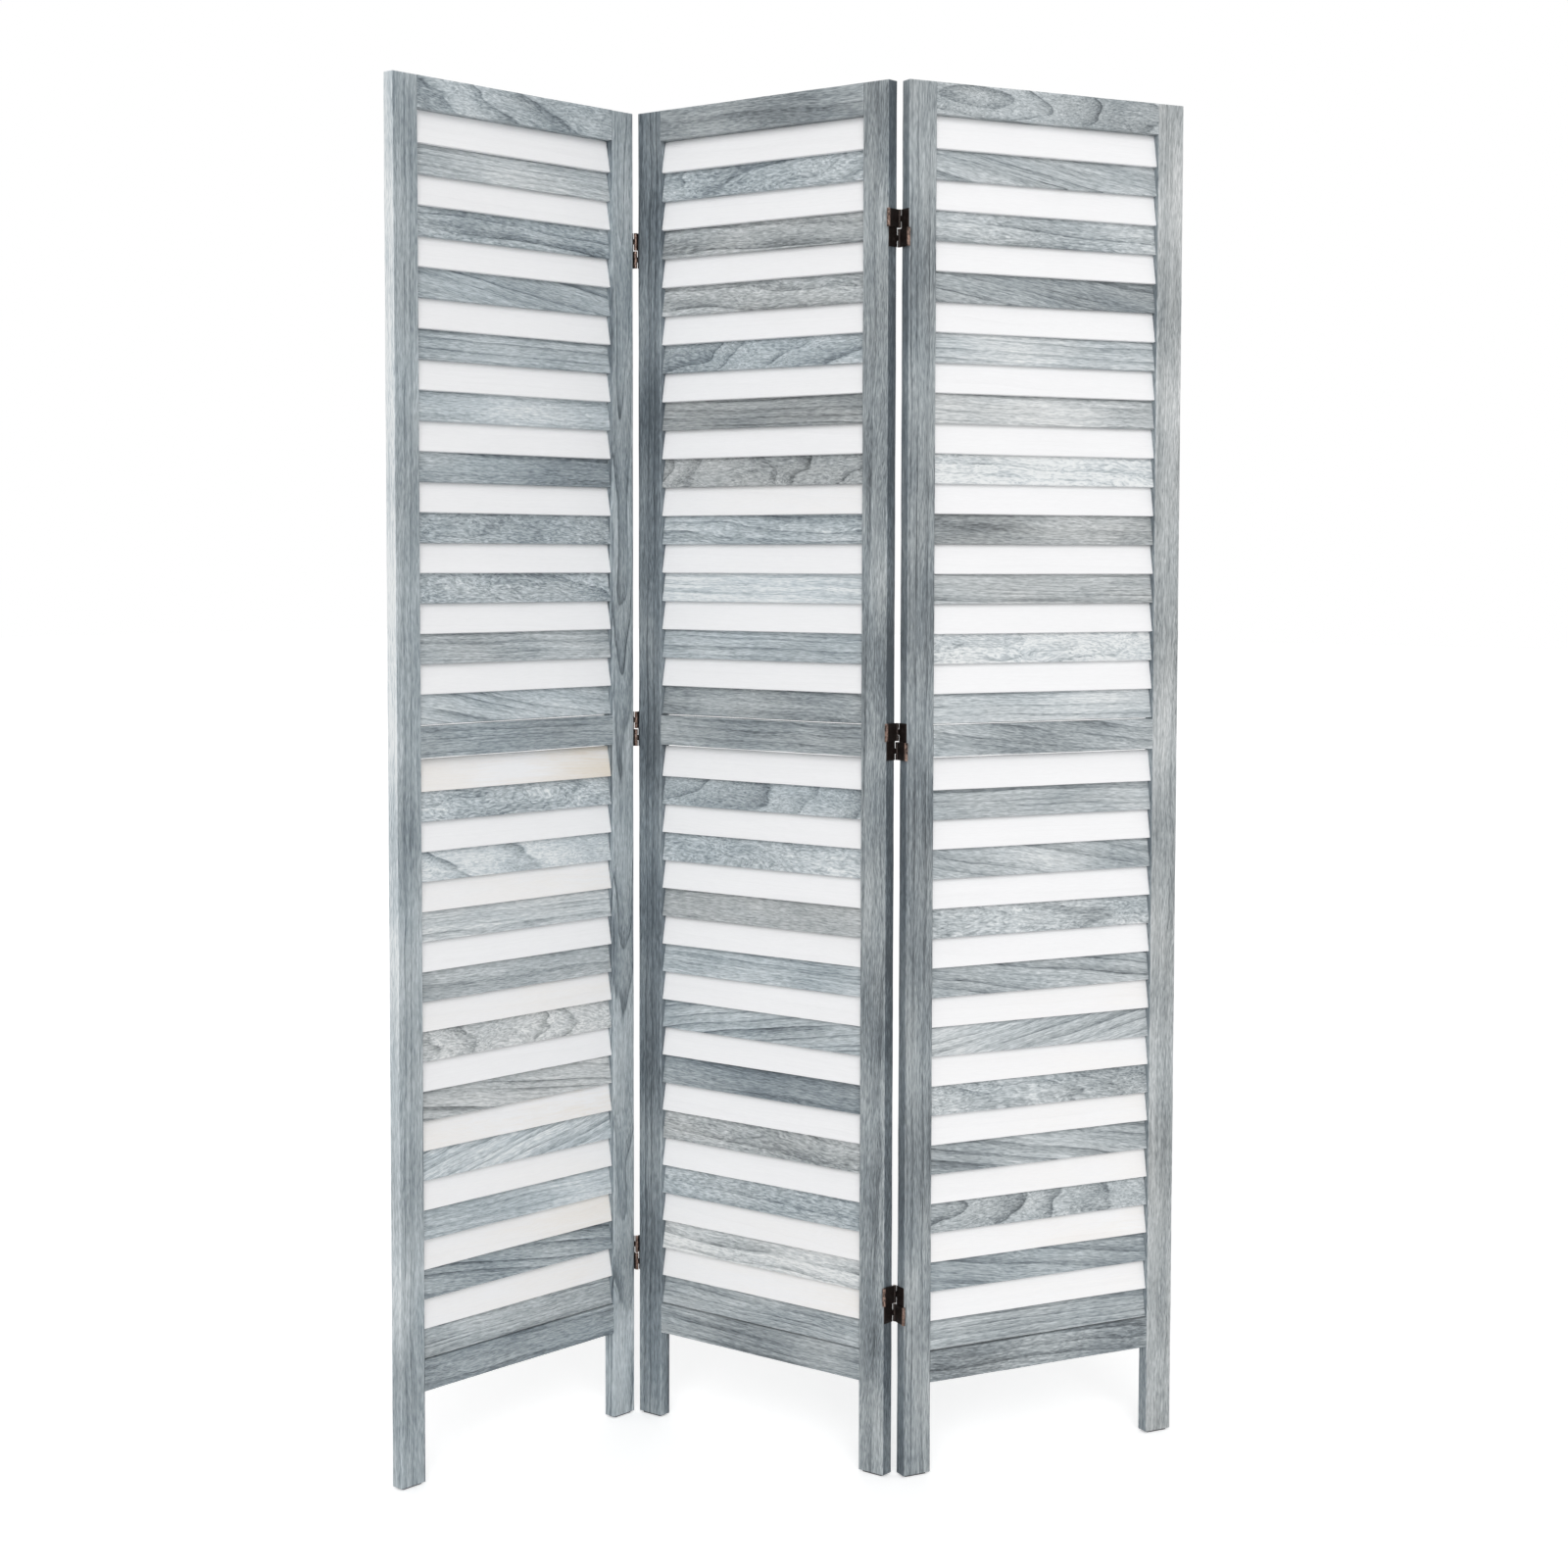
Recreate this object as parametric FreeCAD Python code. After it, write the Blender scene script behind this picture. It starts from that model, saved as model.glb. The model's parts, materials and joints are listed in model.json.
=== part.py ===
import FreeCAD, Part
import math
import os

# A folding screen of three louvred panels joined by two-way hinges.
# Millimetres, +Z up. The middle panel lies along X and the fronts face -Y when the screen is flat.

# Panel frames
panel_height = 1700.0
panel_width = 400.0
panel_thickness = 17.0
stile_width = 38.0
rail_height = 38.0
leg_height = 114.0
edge_ease = 0.6

# Stub tenons that hold the rails in the stiles
tenon_length = 12.0
tenon_thickness = 7.0
tenon_shoulder = 6.0
tenon_clearance = 0.1
tenon_end_gap = 0.5

# Fixed slats, housed in slanted slots in the stiles
slats_per_section = 20
slat_width = 40.0
slat_air_gap = 1.6
slat_front_setback = 3.5
slat_back_setback = 1.3
slat_top_gap = 0.8
slat_bottom_gap = 1.2
lower_slat_drop = 0.8
slot_depth = 8.0
slot_clearance = 0.2
slot_end_gap = 0.5

# Foot pads under the legs
pad_thickness = 2.0
pad_side_inset = 4.0
pad_face_inset = 2.5
pad_corner_radius = 2.0

# Two-way hinges: two leaves, two crossed links and four pins each
hinge_height = 45.0
hinge_top_drop = 175.0
hinge_bottom_rise = 214.0
hinge_half_gap = 1.2
plate_thickness = 1.1
plate_gap = 0.55
leaf_inset = 0.4
barrel_face_gap = 0.3
knuckle_end_gap = 0.3
knuckle_notch_gap = 0.4
pin_clearance = 0.05

# How far each outer panel is folded away from flat as the screen stands, in degrees
left_fold_angle = 87.0
right_fold_angle = 66.0

# How far every cutter runs past the face that it enters
cut_overrun = 1.0

# Places that follow from the sizes above
rails_per_panel = 3
plates_in_gap = 3
knuckles_per_barrel = 3
half_width = panel_width / 2
half_thickness = panel_thickness / 2
inner_half_width = half_width - stile_width
opening_height = (panel_height - leg_height - rails_per_panel * rail_height) / 2
bottom_rail_base = leg_height
middle_rail_base = leg_height + rail_height + opening_height
top_rail_base = panel_height - rail_height

panel_gap = plates_in_gap * plate_thickness + (plates_in_gap - 1) * plate_gap
panel_pitch = panel_width + panel_gap
joint_x = panel_pitch / 2
barrel_radius = panel_gap / 2
bore_radius = barrel_radius - plate_thickness
pin_radius = bore_radius - pin_clearance
axis_offset = half_thickness + barrel_face_gap + barrel_radius
leaf_edge = half_thickness - leaf_inset
hinge_half_height = (hinge_height - hinge_half_gap) / 2
knuckle_length = (hinge_half_height - (knuckles_per_barrel - 1) * knuckle_end_gap) / knuckles_per_barrel
hinge_heights = [
    panel_height - hinge_top_drop,
    middle_rail_base + rail_height / 2,
    hinge_bottom_rise,
]

origin = FreeCAD.Vector(0, 0, 0)
x_axis = FreeCAD.Vector(1, 0, 0)
z_axis = FreeCAD.Vector(0, 0, 1)


def block(x_ends, y_ends, z_ends):
    """Box between two values on each axis, given in either order."""
    low = FreeCAD.Vector(min(x_ends), min(y_ends), min(z_ends))
    high = FreeCAD.Vector(max(x_ends), max(y_ends), max(z_ends))
    size = high - low
    return Part.makeBox(size.x, size.y, size.z, low)


def eased_rectangle(a_ends, b_ends, ease):
    """Corner points of a rectangle whose four corners are planed off by the ease."""
    a_low, a_high = min(a_ends), max(a_ends)
    b_low, b_high = min(b_ends), max(b_ends)
    return [
        (a_low + ease, b_low),
        (a_high - ease, b_low),
        (a_high, b_low + ease),
        (a_high, b_high - ease),
        (a_high - ease, b_high),
        (a_low + ease, b_high),
        (a_low, b_high - ease),
        (a_low, b_low + ease),
    ]


def upright_board(plan_points, z_low, z_high):
    """Board with an (x, y) section that runs up from z_low to z_high."""
    corners = [FreeCAD.Vector(x, y, z_low) for x, y in plan_points]
    face = Part.Face(Part.makePolygon(corners + corners[:1]))
    return face.extrude(z_axis * (z_high - z_low))


def level_board(section_points, x_ends):
    """Board with a (y, z) section that runs along X between the two ends."""
    x_low, x_high = min(x_ends), max(x_ends)
    corners = [FreeCAD.Vector(x_low, y, z) for y, z in section_points]
    face = Part.Face(Part.makePolygon(corners + corners[:1]))
    return face.extrude(x_axis * (x_high - x_low))


def slat_layout():
    """Lean, pitch and thickness of the slats.

    The slats share the opening evenly, lean until they fill the depth between the two setbacks,
    and are as thick as the air gap to the next slat leaves room for.
    """
    depth = panel_thickness - slat_front_setback - slat_back_setback
    height = opening_height - slat_top_gap - slat_bottom_gap
    least, most = 0, math.pi / 4
    for halving in range(60):
        lean = (least + most) / 2
        rise, run = math.cos(lean), math.sin(lean)
        steps = slats_per_section - 1 + run * run
        pitch = (height - slat_width * rise + slat_air_gap * run) / steps
        thickness = pitch * run - slat_air_gap
        if slat_width * run + thickness * rise < depth:
            least = lean
        else:
            most = lean
    return lean, pitch, thickness


slat_lean, slat_pitch, slat_thickness = slat_layout()


def slat_section(z_low, grow):
    """Leaning (y, z) section of a slat from its lower front edge, grown on all four sides."""
    rise, run = math.cos(slat_lean), math.sin(slat_lean)
    y_low = slat_front_setback - half_thickness

    def point(along, across):
        return (y_low + along * run + across * rise, z_low + along * rise - across * run)

    return [
        point(-grow, -grow),
        point(slat_width + grow, -grow),
        point(slat_width + grow, slat_thickness + grow),
        point(-grow, slat_thickness + grow),
    ]


def slat_heights(section_base):
    """Heights of the slats' lower front edges in one opening, from the top slat down.

    The lower opening's slats sit a little low, so that light shows over them under the middle rail.
    """
    top_edge = section_base + opening_height - slat_top_gap - slat_width * math.cos(slat_lean)
    return [top_edge - slat_pitch * index for index in range(slats_per_section)]


section_bases = {
    "upper": middle_rail_base + rail_height,
    "lower": bottom_rail_base + rail_height - lower_slat_drop,
}
rail_bases = {
    "top": top_rail_base,
    "middle": middle_rail_base,
    "bottom": bottom_rail_base,
}


def slat(z_low):
    """One slat, with its ends reaching into the slots of both stiles."""
    half_length = inner_half_width + slot_depth - slot_end_gap
    return level_board(slat_section(z_low, 0), (-half_length, half_length))


def rail(z_low):
    """Rail between the stiles with a stub tenon at each end."""
    z_high = z_low + rail_height
    section = eased_rectangle((-half_thickness, half_thickness), (z_low, z_high), edge_ease)
    board = level_board(section, (-inner_half_width, inner_half_width))
    tenon_reach = inner_half_width + tenon_length
    tenon = block(
        (-tenon_reach, tenon_reach),
        (-tenon_thickness / 2, tenon_thickness / 2),
        (z_low + tenon_shoulder, z_high - tenon_shoulder),
    )
    return board.fuse(tenon).removeSplitter()


def mortise(side, z_low):
    """Cutter for the mortise of a rail's tenon in the left (-1) or right (+1) stile."""
    half_mortise = tenon_thickness / 2 + tenon_clearance
    mouth = inner_half_width - cut_overrun
    bottom = inner_half_width + tenon_length + tenon_end_gap
    return block(
        (side * mouth, side * bottom),
        (-half_mortise, half_mortise),
        (z_low + tenon_shoulder - tenon_clearance, z_low + rail_height - tenon_shoulder + tenon_clearance),
    )


def slat_slot(side, z_low):
    """Cutter for the slanted slot of one slat in the left (-1) or right (+1) stile."""
    mouth = inner_half_width - cut_overrun
    bottom = inner_half_width + slot_depth
    return level_board(slat_section(z_low, slot_clearance), (side * mouth, side * bottom))


def stile(side):
    """Full-height stile with its slat slots and mortises, about the panel's centre."""
    section = eased_rectangle(
        (side * inner_half_width, side * half_width), (-half_thickness, half_thickness), edge_ease
    )
    board = upright_board(section, pad_thickness, panel_height)
    cutters = [mortise(side, base) for base in rail_bases.values()]
    for base in section_bases.values():
        cutters += [slat_slot(side, height) for height in slat_heights(base)]
    return board.cut(cutters)


def foot_pad(side):
    """Thin pad under a leg, set in from the leg's sides, with round corners."""
    pad = block(
        (side * (inner_half_width + pad_side_inset), side * (half_width - pad_side_inset)),
        (-half_thickness + pad_face_inset, half_thickness - pad_face_inset),
        (0, pad_thickness),
    )
    corners = [edge for edge in pad.Edges if edge.tangentAt(edge.FirstParameter).cross(z_axis).Length < 0.5]
    return pad.makeFillet(pad_corner_radius, corners)


def knuckle_zone(number, half_base):
    """Lower and upper height of a numbered knuckle in the hinge half that starts at half_base."""
    z_low = half_base + number * (knuckle_length + knuckle_end_gap)
    return z_low, z_low + knuckle_length


upper_half_base = hinge_half_gap / 2
lower_half_base = -hinge_half_gap / 2 - hinge_half_height


def barrel(radius, face, zone):
    """Round bar on the front (-1) or back (+1) hinge axis over a height zone."""
    z_low, z_high = zone
    return Part.makeCylinder(radius, z_high - z_low, FreeCAD.Vector(0, face * axis_offset, z_low))


def rolled_knuckle(face, zone):
    """Leaf plate carried past its edge and rolled round the front (-1) or back (+1) axis.

    The plate's outer face runs tangent into the roll; its inner face ends where it meets the roll.
    """
    z_low, z_high = zone
    roll_reach = math.sqrt(barrel_radius ** 2 - bore_radius ** 2)

    def point(x, y):
        return FreeCAD.Vector(x, face * y, z_low)

    root_outer = point(-barrel_radius, leaf_edge)
    roll_start = point(-barrel_radius, axis_offset)
    roll_top = point(0, axis_offset + barrel_radius)
    roll_side = point(barrel_radius, axis_offset)
    roll_foot = point(0, axis_offset - barrel_radius)
    roll_end = point(-bore_radius, axis_offset - roll_reach)
    root_inner = point(-bore_radius, leaf_edge)
    low_arc_middle = point(
        -barrel_radius * math.sin((math.asin(bore_radius / barrel_radius)) / 2),
        axis_offset - barrel_radius * math.cos((math.asin(bore_radius / barrel_radius)) / 2),
    )
    side_arc_middle = point(
        barrel_radius * math.cos(math.pi / 4), axis_offset - barrel_radius * math.sin(math.pi / 4)
    )
    edges = [
        Part.LineSegment(root_outer, roll_start).toShape(),
        Part.Arc(roll_start, roll_top, roll_side).toShape(),
        Part.Arc(roll_side, side_arc_middle, roll_foot).toShape(),
        Part.Arc(roll_foot, low_arc_middle, roll_end).toShape(),
        Part.LineSegment(roll_end, root_inner).toShape(),
        Part.LineSegment(root_inner, root_outer).toShape(),
    ]
    roll = Part.Face(Part.Wire(edges)).extrude(z_axis * (z_high - z_low))
    return roll.cut(barrel(bore_radius, face, zone))


def leaf():
    """Hinge leaf for the stile on the left: knuckle in front above, behind below."""
    plate = block(
        (-barrel_radius, plate_thickness - barrel_radius),
        (-leaf_edge, leaf_edge),
        (-hinge_height / 2, hinge_height / 2),
    )
    knuckles = [
        rolled_knuckle(-1, knuckle_zone(1, upper_half_base)),
        rolled_knuckle(1, knuckle_zone(1, lower_half_base)),
    ]
    return plate.fuse(knuckles).removeSplitter()


def link(half_base):
    """Link plate of one hinge half, with knuckles on both axes and notches for the leaves' knuckles."""
    half_plate = plate_thickness / 2
    notch_edge = axis_offset - barrel_radius - knuckle_notch_gap
    bottom, top = half_base, half_base + hinge_half_height
    plate = block((-half_plate, half_plate), (-notch_edge, notch_edge), (bottom, top))
    pieces = []
    bores = []
    for number in (0, knuckles_per_barrel - 1):
        zone = knuckle_zone(number, half_base)
        pieces.append(block((-half_plate, half_plate), (-axis_offset, axis_offset), zone))
        pieces += [barrel(barrel_radius, face, zone) for face in (-1, 1)]
        bores += [barrel(bore_radius, face, zone) for face in (-1, 1)]
    return plate.fuse(pieces).removeSplitter().cut(bores)


def pins(half_base):
    """The two pins of one hinge half, in front and behind."""
    zone = (half_base, half_base + hinge_half_height)
    return [barrel(pin_radius, face, zone) for face in (-1, 1)]


def half_turn(shape):
    """The same piece on the other side of the gap between two panels."""
    return shape.rotated(origin, z_axis, 180)


def at_hinges(shapes, x):
    """Copies of the shapes at each hinge height, beside the middle of a gap at x."""
    return [shape.translated(FreeCAD.Vector(x, 0, height)) for height in hinge_heights for shape in shapes]


def hinge_nodes(joint):
    """Hinge pieces of the left or right joint, as (panel, node) to solids."""
    x = -joint_x if joint == "left" else joint_x
    left_leaf = leaf()
    right_leaf = half_turn(left_leaf)
    outer_leaf, middle_leaf = (left_leaf, right_leaf) if joint == "left" else (right_leaf, left_leaf)
    nodes = {}
    nodes[joint, joint + "_hinge_outer_leaves"] = at_hinges([outer_leaf], x)
    nodes["middle", joint + "_hinge_middle_leaves"] = at_hinges([middle_leaf], x)
    nodes["middle", joint + "_hinge_upper_links"] = at_hinges([link(upper_half_base)], x)
    nodes["middle", joint + "_hinge_upper_pins"] = at_hinges(pins(upper_half_base), x)
    nodes[joint, joint + "_hinge_lower_links"] = at_hinges([link(lower_half_base)], x)
    nodes[joint, joint + "_hinge_lower_pins"] = at_hinges(pins(lower_half_base), x)
    return nodes


def panel_nodes(panel):
    """Wooden pieces and foot pads of one panel, about its own centre, as node name to solids."""
    start = panel + "_panel_"
    nodes = {}
    for side, name in ((-1, "left"), (1, "right")):
        nodes[start + name + "_stile"] = [stile(side)]
        nodes[start + name + "_foot_pad"] = [foot_pad(side)]
    for name, base in rail_bases.items():
        nodes[start + name + "_rail"] = [rail(base)]
    for name, base in section_bases.items():
        slats = [slat(height) for height in slat_heights(base)]
        nodes[start + name + "_white_slats"] = slats[0::2]
        nodes[start + name + "_grey_slats"] = slats[1::2]
    return nodes


panel_centres = {"left": -panel_pitch, "middle": 0, "right": panel_pitch}
fold_axes = {
    "left": FreeCAD.Vector(-joint_x, -axis_offset, 0),
    "right": FreeCAD.Vector(joint_x, axis_offset, 0),
}


def standing_places():
    """Placement of each panel as the screen stands, with the origin under the middle of its box."""
    turns = {
        "left": FreeCAD.Rotation(z_axis, left_fold_angle),
        "right": FreeCAD.Rotation(z_axis, right_fold_angle),
    }
    places = {"middle": FreeCAD.Placement()}
    for panel, turn in turns.items():
        places[panel] = FreeCAD.Placement(origin, turn, fold_axes[panel])
    corners = []
    for panel, centre_x in panel_centres.items():
        for x in (centre_x - half_width, centre_x + half_width):
            for y in (-half_thickness, half_thickness):
                corners.append(places[panel].multVec(FreeCAD.Vector(x, y, 0)))
    middle_x = (min(corner.x for corner in corners) + max(corner.x for corner in corners)) / 2
    middle_y = (min(corner.y for corner in corners) + max(corner.y for corner in corners)) / 2
    shift = FreeCAD.Placement(FreeCAD.Vector(-middle_x, -middle_y, 0), FreeCAD.Rotation())
    return {panel: shift.multiply(place) for panel, place in places.items()}


def main():
    """Build every node in the flat screen, fold it as it stands and write the files."""
    nodes = {}
    for panel, centre_x in panel_centres.items():
        shift = FreeCAD.Vector(centre_x, 0, 0)
        for name, solids in panel_nodes(panel).items():
            nodes[panel, name] = [solid.translated(shift) for solid in solids]
    for joint in fold_axes:
        nodes.update(hinge_nodes(joint))
    places = standing_places()
    os.makedirs("parts", exist_ok=True)
    for (panel, name), solids in nodes.items():
        placed = []
        for solid in solids:
            copy = solid.copy()
            copy.Placement = places[panel].multiply(copy.Placement)
            placed.append(copy)
        shape = placed[0] if len(placed) == 1 else Part.makeCompound(placed)
        shape.exportStep(os.path.join("parts", name + ".step"))
    for joint, axis in fold_axes.items():
        foot = places["middle"].multVec(axis)
        print(joint, "fold axis at", round(foot.x, 3), round(foot.y, 3))
    print("slat lean", round(math.degrees(slat_lean), 2), "pitch", round(slat_pitch, 2))
    print("slat thickness", round(slat_thickness, 2), "nodes", len(nodes))


main()
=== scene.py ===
import json
import math

import bpy
import numpy as np
from mathutils import Matrix


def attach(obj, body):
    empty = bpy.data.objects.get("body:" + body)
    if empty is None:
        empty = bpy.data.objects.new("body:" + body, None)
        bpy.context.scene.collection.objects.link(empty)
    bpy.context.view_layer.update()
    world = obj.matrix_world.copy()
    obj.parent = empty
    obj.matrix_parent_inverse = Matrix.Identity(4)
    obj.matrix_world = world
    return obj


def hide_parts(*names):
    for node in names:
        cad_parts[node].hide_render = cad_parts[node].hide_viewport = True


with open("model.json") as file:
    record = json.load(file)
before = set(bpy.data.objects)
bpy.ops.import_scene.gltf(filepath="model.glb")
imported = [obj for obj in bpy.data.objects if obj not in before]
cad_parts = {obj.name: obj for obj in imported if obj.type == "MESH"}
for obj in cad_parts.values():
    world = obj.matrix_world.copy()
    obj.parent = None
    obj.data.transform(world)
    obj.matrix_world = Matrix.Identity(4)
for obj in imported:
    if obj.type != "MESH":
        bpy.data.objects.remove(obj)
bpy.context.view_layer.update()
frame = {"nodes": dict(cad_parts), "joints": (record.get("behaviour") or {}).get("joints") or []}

# A folding screen of three louvred panels in grey-washed and white-washed wood, on two-way hinges.
# Metres, +Z up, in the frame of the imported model.

scene = bpy.context.scene
scene.view_settings.view_transform = "Standard"
mm = 0.001


# Where the panels stand

# The fold line and the fold at rest of each panel. A joint's lowest angle lays its panel flat.
folds = {"middle_panel": (0.0, 0.0, 0.0)}
for joint in frame["joints"]:
    x, y = joint["pos_m"][:2]
    folds[joint["child"]] = (x, y, -math.radians(joint["range_deg"][0]))


def turned(points, panel, way):
    """Points turned about the panel's fold line: way 1 folds a flat panel as it stands, -1 lays it flat."""
    x, y, angle = folds[panel]
    c, s = math.cos(way * angle), math.sin(way * angle)
    pivot = np.array([x, y, 0.0])
    return (points - pivot) @ np.array([[c, s, 0.0], [-s, c, 0.0], [0.0, 0.0, 1.0]]) + pivot


def flat_points(panel, node):
    """The points of a CAD node with its panel laid flat along X, front towards -Y."""
    mesh = frame["nodes"][node].data
    points = np.empty(len(mesh.vertices) * 3, np.float32)
    mesh.vertices.foreach_get("co", points)
    return turned(points.reshape(-1, 3).astype(float), panel, -1)


def flat_box(panel, node):
    """Lowest and highest corner of a CAD node with its panel laid flat."""
    points = flat_points(panel, node)
    return points.min(0), points.max(0)


def slat_corners(panel, node):
    """The (y, z) corners of each slat in a node, top slat first.

    The node's points are put in order of height and joined to one where they are level, which leaves four
    heights for each slat: lower back, lower front, upper back, upper front.
    """
    points = flat_points(panel, node)[:, 1:]
    points = points[np.argsort(points[:, 1])]
    level_step = 0.2 * mm
    level = np.concatenate([[0], np.cumsum(np.diff(points[:, 1]) > level_step)])
    count = np.bincount(level)
    corners = [np.bincount(level, points[:, k]) / count for k in (0, 1)]
    return np.stack(corners, 1).reshape(-1, 4, 2)[::-1]


# Boards

quarter_circle = np.radians([0, 30, 60, 90])
# The plain strip beside an edge takes at most this share of a side.
strip_limit = 0.3


def eased_profile(width, thickness, ease, strip):
    """Section of a board in (across, out), going round counter-clockwise from the upper front corner's start.

    A rectangle with a quarter circle of radius ease at each corner. Each side has three more points: one a
    strip's width in from each end, and one in the middle. Gives the points, their outward directions, how
    close to an edge each is, and which side it is on: 0 upper, 1 front, 2 lower, 3 back.
    """
    corner = np.array([[1, 1], [-1, 1], [-1, -1], [1, -1]])
    points, normals, edge, side = [], [], [], []
    for k in range(4):
        turn = quarter_circle + k * math.pi / 2
        outward = np.stack([np.cos(turn), np.sin(turn)], 1)
        centre = corner[k] * [width / 2 - ease, thickness / 2 - ease]
        length = 2 * (width / 2 - ease if k % 2 == 0 else thickness / 2 - ease)
        step_in = min(strip, strip_limit * length)
        run = np.array([step_in, length / 2, length - step_in])
        facing = np.array([np.cos(turn[-1]), np.sin(turn[-1])])
        ahead = np.array([-facing[1], facing[0]])
        points += [centre + ease * outward, centre + ease * facing + run[:, None] * ahead]
        normals += [outward, np.repeat(facing[None], 3, 0)]
        edge += [np.ones(4), np.zeros(3)]
        side += [np.array([k, k, k + 1, k + 1]) % 4, np.full(3, (k + 1) % 4)]
    return np.concatenate(points), np.concatenate(normals), np.concatenate(edge), np.concatenate(side)


def stations(length, ease, strip, spacing):
    """Places along a board and how far the section is drawn in at each: a quarter circle of radius ease at
    both ends, a strip's width of plain board, then even steps."""
    from_end = ease * (1 - np.cos(quarter_circle))
    drawn_in = ease * (1 - np.sin(quarter_circle))
    steps = max(2, int(round((length - 2 * (ease + strip)) / spacing)))
    middle = np.linspace(ease + strip, length - ease - strip, steps + 1)
    along = np.concatenate([from_end, middle, length - from_end[::-1]])
    inset = np.concatenate([drawn_in, np.zeros(steps + 1), drawn_in[::-1]])
    near_end = np.concatenate([np.ones(4), np.zeros(steps + 1), np.ones(4)])
    return along, inset, near_end


# How the growth rings lie in a board, by letter: where the heart of the tree is across and behind the face,
# how it drifts per metre across and in depth, how wide the rings are, how curly the grain is, and how strong
# the ring lines are.
figures = {
    "s": (0.150, 0.040, 0.012, 0.00, 0.0095, 0.10, 0.80),
    "w": (0.070, 0.030, 0.030, 0.00, 0.0200, 0.42, 1.00),
    "r": (0.110, 0.020, -0.170, 0.00, 0.0150, 0.20, 0.95),
    "f": (0.110, 0.020, 0.150, 0.00, 0.0170, 0.18, 1.00),
    "a": (0.026, 0.090, 0.050, 0.17, 0.0150, 0.34, 1.15),
    "b": (0.008, 0.100, 0.020, 0.20, 0.0150, 0.40, 1.15),
    "o": (0.004, 0.024, 0.020, 0.20, 0.0150, 0.26, 1.05),
    "c": (0.020, 0.060, 0.040, 0.10, 0.0130, 0.62, 0.55),
    "p": (0.160, 0.050, 0.020, 0.00, 0.0420, 0.18, 0.50),
    "u": (0.100, 0.030, 0.006, 0.01, 0.0130, 0.07, 0.75),
    "v": (0.002, 0.030, 0.002, -0.03, 0.0070, 0.12, 1.10),
}
# Tones from dark to pale, and hues from bluish to neutral.
tones = {"k": 0.26, "d": 0.40, "m": 0.48, "h": 0.55, "l": 0.62, "v": 0.69, "p": 0.77, "q": 0.88, "x": 0.97}
hues = {"b": 0.12, "g": 0.42, "n": 0.75}
# Patches, by sign: where along the board, how wide as a share of its length, and how much darker or paler.
tone_patches_and_painted_light = {
    "<": (0.00, 0.35, -0.15),
    ">": (1.00, 0.40, -0.15),
    "^": (0.62, 0.17, -0.15),
    "=": (0.45, 0.36, -0.10),
    # painted light: the foot of a stile below the bottom rail made paler, as if lit from the floor
    "_": (0.00, 0.07, 0.14),
    "-": (0.00, 1.00, 0.00),
}
# How far boards of one code differ, the tone where a code has no tone letter, and the span of random places
# along the tree and of random shifts of the waves.
ring_spread, tone_spread = 0.25, 0.02
plain_tone = 0.5
tree_length, phase_range = 40, 6.28


def board_looks(codes, seed):
    """Ring layout and look of each board from its code: letters for tone, figure and hue and a sign for a
    patch, or for a white board a figure letter and a digit for how warm the thin wash is.

    Small seeded differences are put on top, so that no two boards are alike.
    """
    chance = np.random.default_rng(seed)
    n = len(codes)
    patch = np.array([tone_patches_and_painted_light[code[3:] or "-"] for code in codes])
    codes = [code[:3] for code in codes]
    rings = np.array([figures[code[-2]] for code in codes])
    rings = rings * (1 + ring_spread * chance.uniform(-1, 1, rings.shape))
    rings[:, 0] *= chance.choice([-1, 1], n)
    tone = np.array([tones[code[0]] if len(code) == 3 else plain_tone for code in codes])
    tone = tone + tone_spread * chance.uniform(-1, 1, n)
    hue = np.array([hues[code[-1]] if code[-1] in hues else int(code[-1]) / 10 for code in codes])
    apart = chance.uniform(0, tree_length, n)
    phase = chance.uniform(0, phase_range, (n, 4))
    return rings, tone, hue, patch, apart, phase


edge_strip = 2.5 * mm
end_ease_share = 0.7
waver_size = 0.10 * mm
waver_waves = (31, 73)
swell_waves = (17, 29)
plain_sides = (0, 0, 0, 0)
# Hue of the sides that are darkened as painted shade: bluish.
painted_shade_side_hue = 0.2


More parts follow.
